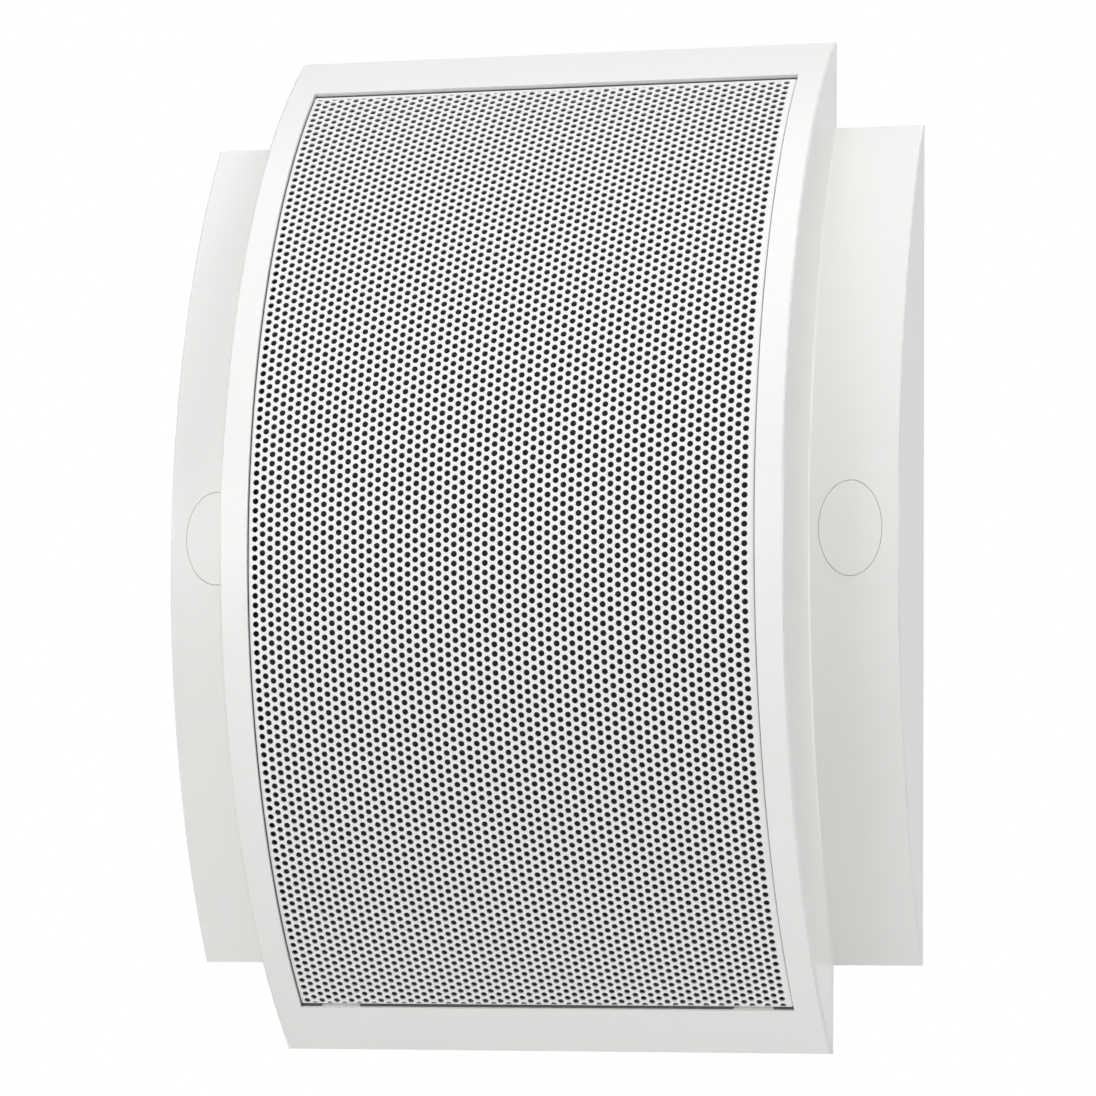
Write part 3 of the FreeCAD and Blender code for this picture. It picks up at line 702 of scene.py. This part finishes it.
def makeGrille(s):
    # The perforated face, a wall down each hole, and round the face a bend of a quarter circle, a folded edge
    # and that edge's inner side. The colour turns dark down a hole and a fold: raw metal and painted shade.
    points, quads, holes = mergeFlat(*perforatedFace(s))
    face = onArch(points[:, 0], points[:, 1], 0.0)
    inner = onArch(*points[holes].reshape(-1, 2).T, s["sheet"])
    loop, way = rimLoop(points, *faceBounds(s), s["corner"])
    turn = quarter(s["bendSteps"])[1:]
    inward = s["bend"] - s["sheet"]
    offset = np.append(s["bend"] * np.sin(turn), [s["bend"], inward, inward])
    depth = np.append(s["bend"] * (1 - np.cos(turn)), [s["fold"], s["fold"], s["sheet"]])
    rim = points[loop][None] + offset[:, None, None] * way[None]
    skirt = onArch(rim[..., 0], rim[..., 1], depth[:, None]).reshape(-1, 3)
    nextCorner = np.roll(np.arange(8), -1)
    deep = len(face) + np.arange(len(inner)).reshape(-1, 8)
    walls = np.stack([holes, holes[:, nextCorner], deep[:, nextCorner], deep], axis=-1).reshape(-1, 4)
    walls = walls[walls[:, 0] != walls[:, 1]]
    folds = rimFaces(loop, len(face) + len(inner), len(offset))
    faces = wholeFaces(np.concatenate([quads, walls, folds]))
    print("grille:", len(holes), "holes,", sum(len(f) - 2 for f in faces), "triangles")
    grille = newPiece("grille_sheet", np.concatenate([face, inner, skirt]), faces, "white_sheet")
    # The holes' inner ring is fully dark, and the fold darkens from half the bend down to its depth: raw
    # metal at the cut, and painted shade with depth.
    ring = np.repeat(np.interp(depth, [s["bend"] / 2, s["fold"]], [0.0, 1.0]), len(loop))
    bareAndShade = np.concatenate([np.zeros(len(face)), np.ones(len(inner)), ring])
    grille.data.attributes.new("bareAndShade", "FLOAT", "POINT").data.foreach_set("value", bareAndShade)
    grille.data.set_sharp_from_angle(angle=crease)
    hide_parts("grille")


makeGrille(grilleSheet)


grilleCloth = {
    "half": (67.65, 140.05),  # inside of the turned-up rim
    "lift": 0.0,
    "depth": 3.1,  # of the stretched part below the grille's face
    "edge": 0.3,  # of the rim's edge below the grille's face
    "lowerEdge": -0.2,  # the same at the lower end, where it stands above the face
    "bend": 0.3,
    "bendSteps": 3,
    "corner": 4,
    "thickness": 0.2,
    "columns": 135,
    "rows": 94,
    "notch": (56.9, 5.0),  # place and half width of the gaps left for the two ribs at the lower end
    "notchRise": 0.02,  # share of the rim's height that is left there
}


def makeCloth(s):
    # A flat field of across by along on the pocket's floor. Its border bends up in a quarter circle and
    # stands against the pocket's walls, apart from the two notches, where it lies flat.
    low, high = faceBounds(s)
    low, high = low + s["bend"], high - s["bend"]
    columns = np.linspace(low[0], high[0], s["columns"])
    rows = np.linspace(low[1], high[1], s["rows"])
    field = np.stack(np.meshgrid(columns, rows), axis=-1).reshape(-1, 2)
    loop, way = rimLoop(field, low, high, s["corner"])
    turn = quarter(s["bendSteps"])[1:]
    height = s["depth"] - s["edge"]
    offset = s["bend"] * np.append(np.sin(turn), [1.0, 1.0])
    rise = np.append(s["bend"] * (1 - np.cos(turn)), [(s["bend"] + height) / 2, height])
    place, width = s["notch"]
    notched = (way[:, 1] == -1) & (np.abs(np.abs(field[loop, 0]) - place) < width)
    taller = (s["depth"] - s["lowerEdge"]) / height
    rise = rise[:, None] * np.where(notched, s["notchRise"], np.where(way[:, 1] < 0, taller, 1.0))
    rim = field[loop][None] + offset[:, None, None] * way[None]
    flat = np.concatenate([field, (rim + rise[..., None] * way[None]).reshape(-1, 2)])
    points = np.concatenate([
        onArch(field[:, 0], field[:, 1], s["depth"]),
        onArch(rim[..., 0], rim[..., 1], s["depth"] - rise).reshape(-1, 3),
    ])
    quads = [gridFaces(s["rows"], s["columns"]), rimFaces(loop, len(field), len(offset))]
    cloth = newPiece("speaker_cloth", points, wholeFaces(np.concatenate(quads)), "black_cloth", flat=flat)
    shell = cloth.modifiers.new("thickness", "SOLIDIFY")
    shell.thickness, shell.offset = s["thickness"] * mm, -1.0
    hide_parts("grille_cloth")
    share = (arch["radius"] - s["depth"]) / arch["radius"]  # the floor's arc is shorter than the grille's
    spare = height - s["bend"] + s["bend"] * math.pi / 2
    cut = [2 * (high[0] + spare) * mm, 2 * (share * high[1] + spare) * mm]
    print("cloth: cut to", [round(c, 4) for c in cut])


makeCloth(grilleCloth)


def turnedPiece(name, profile, spokes, finish, body=None):
    # A closed section of radius and distance behind the flange's front, carried round the driver's axis.
    angle = np.linspace(0, fullTurn, spokes, endpoint=False)[:, None]
    radius, behind = profile[:, 0], profile[:, 1]
    flat = np.stack([radius * np.cos(angle), radius * np.sin(angle)], axis=-1)  # as seen along the axis
    y = np.broadcast_to(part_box("surround")[1][1] + behind * mm, flat.shape[:2])
    points = np.stack([flat[..., 0] * mm, y, flat[..., 1] * mm], axis=-1)
    faces = gridFaces(spokes, len(profile), closedRows=True, closedColumns=True)
    return newPiece(name, points, faces, finish, body, flat)


def flexBetween(piece, inner, outer):
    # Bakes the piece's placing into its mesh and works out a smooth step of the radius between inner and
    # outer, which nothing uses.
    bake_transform(piece)
    spots = np.empty(3 * len(piece.data.vertices))
    piece.data.vertices.foreach_get("co", spots)
    radius = np.hypot(spots[0::3], spots[2::3]) / mm
    share = np.clip((radius - inner) / (outer - inner), 0, 1)
    share = (share * share * (3 - 2 * share)).astype(np.float32)


surroundRoll = {
    "inside": 43.0,
    "middle": 50.0,  # radius of the roll's crown
    "roll": 3.5,
    "outside": 57.0,
    "sheet": 0.5,
    "steps": 15,
    "spokes": 144,
}


def makeSurround(s):
    # Flat rims and a half roll: an outer arc along the front and an inner arc back along the rear.
    front = s["roll"] + s["sheet"]
    lean = math.asin(s["sheet"] / front)
    turn = np.linspace(lean, math.pi - lean, s["steps"])
    crown = np.stack([s["middle"] - front * np.cos(turn), -front * np.sin(turn)], axis=-1)
    turn = np.linspace(math.pi, 0, s["steps"])
    hollow = np.stack([s["middle"] - s["roll"] * np.cos(turn), -s["roll"] * np.sin(turn)], axis=-1)
    outerRim = [(s["outside"], -s["sheet"]), (s["outside"], 0)]
    profile = np.concatenate([[(s["inside"], -s["sheet"])], crown, outerRim, hollow, [(s["inside"], 0)]])
    surround = turnedPiece("surround_roll", profile, s["spokes"], "foam")
    surround.data.set_sharp_from_angle(angle=crease)
    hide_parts("surround")
    flexBetween(surround, s["middle"] - s["roll"], s["middle"] + s["roll"])


makeSurround(surroundRoll)


spiderDisc = {
    "inside": 10.6,
    "neck": 1.0,  # width from the inside before the radius step that flexBetween works out
    "rim": 27.5,
    "outside": 32.5,
    "level": 15.6,  # behind the flange's front
    "wave": 0.8,
    "waves": 3,
    "sheet": 0.4,
    "steps": 60,
    "spokes": 120,
}


def makeSpider(s):
    # Corrugations as a raised cosine of the radius, ending in a flat rim, at an even thickness.
    run = (s["rim"] - s["inside"]) * 2 * s["waves"] / (2 * s["waves"] + 1)
    radius = np.append(np.linspace(0, run, s["steps"]), [s["rim"] - s["inside"], s["outside"] - s["inside"]])
    height = s["wave"] * (0.5 - 0.5 * np.cos(fullTurn * s["waves"] * np.minimum(radius / run, 1)))
    front = np.stack([s["inside"] + radius, s["level"] - height], axis=-1)
    profile = np.concatenate([front, front[::-1] + [0, s["sheet"]]])
    spider = turnedPiece("spider_disc", profile, s["spokes"], "black_cloth")
    spider.data.set_sharp_from_angle(angle=crease)
    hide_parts("spider")
    flexBetween(spider, s["inside"] + s["neck"], s["rim"])


makeSpider(spiderDisc)


gasketRing = {
    "inside": 57.1,
    "outside": 64.0,
    "front": -1.5,
    "back": 0.0,
    "edge": 0.4,  # radius of its rounding
    "edgeSteps": 3,
    "spokes": 144,
}


def makeGasket(s):
    # A flat ring whose four edges are quarter circles, each turned on by a quarter from the one before.
    turn = quarter(s["edgeSteps"])
    edge = s["edge"]
    low, high = s["front"] + edge, s["back"] - edge
    near, far = s["inside"] + edge, s["outside"] - edge
    centres = [(far, low), (far, high), (near, high), (near, low)]
    profile = []
    for n, centre in enumerate(centres):
        angle = turn + (n - 1) * math.pi / 2
        profile.append(centre + edge * np.stack([np.cos(angle), np.sin(angle)], axis=-1))
    gasket = turnedPiece("gasket_ring", np.concatenate(profile), s["spokes"], "foam", "enclosure")
    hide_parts("driver_gasket")


makeGasket(gasketRing)
print("surround, spider and gasket made")


# Camera, light and floor, in metres

view = {
    "place": (0.3169, -1.2682, -0.1356),
    "forward": (-0.244054, 0.964266, 0.103099),
    "up": (0.015738, -0.102362, 0.994623),
    "lens": 158.36,
    "sensor": 36.0,
    "clip": (0.05, 50.0),
}


def makeCamera(s):
    forward = Vector(s["forward"]).normalized()
    right = forward.cross(Vector(s["up"])).normalized()
    turn = Matrix((right, right.cross(forward), -forward)).transposed()
    data = bpy.data.cameras.new("camera")
    data.lens, data.sensor_width = s["lens"], s["sensor"]
    data.clip_start, data.clip_end = s["clip"]
    camera = bpy.data.objects.new("camera", data)
    camera.matrix_world = Matrix.Translation(s["place"]) @ turn.to_4x4()
    bpy.context.scene.collection.objects.link(camera)
    bpy.context.scene.camera = camera


makeCamera(view)

lamps = {  # place, diameter and watts; each lamp points at the origin
    "top": ((0.0, -0.5, 1.9), 1.5, 9.6),
    "topFront": ((0.0, -1.5, 1.4), 1.5, 8.6),
    "topRight": ((1.3, -1.0, 1.4), 1.2, 19.4),
    "right": ((2.1, -0.6, 0.3), 1.5, 6.2),
    "left": ((-1.6, -1.5, 0.15), 0.8, 14.0),
    "frontLeft": ((-0.9, -1.9, 0.2), 0.8, 5.8),
    "under": ((0.1, -0.16, -0.405), 0.3, 0.16),
    "back": ((0.0, 2.2, 0.9), 0.6, 20.0),
}


def makeLamp(name, place, size, watts):
    data = bpy.data.lights.new(name, "AREA")
    data.shape, data.size, data.energy = "DISK", size, watts
    lamp = bpy.data.objects.new(name, data)
    lamp.location = place
    lamp.rotation_mode = "QUATERNION"
    lamp.rotation_quaternion = (-Vector(place)).to_track_quat("-Z", "Y")
    lamp.visible_camera = False
    bpy.context.scene.collection.objects.link(lamp)


for name, values in lamps.items():
    makeLamp(name, *values)

sky = {
    "colour": (1.0, 1.0, 1.0),
    "light": 0.04,  # strength that falls on the object
    "shown": 1.0,  # strength that the camera and the mirrors see
}


def makeSky(s):
    world = bpy.data.worlds.new("studio")
    world.use_nodes = True
    tree = world.node_tree
    tree.nodes.clear()
    path = tree.nodes.new("ShaderNodeLightPath")
    rays = ("Is Camera Ray", "Is Glossy Ray", "Is Transmission Ray")
    camera, glossy, through = (Wire(tree, path.outputs[ray]) for ray in rays)
    seen = camera.most(glossy).most(through)
    light, shown = (
        seen.node("ShaderNodeBackground", {}, {"Color": tone(s["colour"]), "Strength": s[part]})
        for part in ("light", "shown")
    )
    both = seen.node("ShaderNodeMixShader", {}, {0: seen, 1: light, 2: shown})
    seen.node("ShaderNodeOutputWorld", {}, {"Surface": both})
    bpy.context.scene.world = world


makeSky(sky)

floor = {
    "height": -0.42,
    "radius": 3.0,
    "middle": 0.02,  # radius of the face that closes its middle
    "rings": 24,
    "spokes": 96,
    "colour": (0.86, 0.86, 0.855),
    "darkest": 0.985,
    "clouds": 3.0,
    "roughness": 0.7,
    "uneven": 0.1,
}


def makeFloor(s):
    # A flat round floor: radius by angle, with the middle closed by one face.
    material, place = startFinish("floor")
    clouds = place.noise(s["clouds"])
    place.shader({
        "Base Color": clouds.mix(tone(s["colour"], s["darkest"]), tone(s["colour"])),
        "Roughness": s["roughness"] + s["uneven"] * clouds,
    })
    radius = np.linspace(s["middle"], s["radius"], s["rings"])[:, None]
    angle = np.linspace(0, fullTurn, s["spokes"], endpoint=False)[None, :]
    level = np.full((s["rings"], s["spokes"]), s["height"])
    points = np.stack([radius * np.cos(angle), radius * np.sin(angle), level], axis=-1)
    quads = gridFaces(s["rings"], s["spokes"], closedColumns=True)[:, ::-1]
    newObject("floor", points, [*quads, np.arange(s["spokes"])], material)


makeFloor(floor)
bpy.context.scene.view_settings.view_transform = "Standard"
print("camera, lamps and floor set")
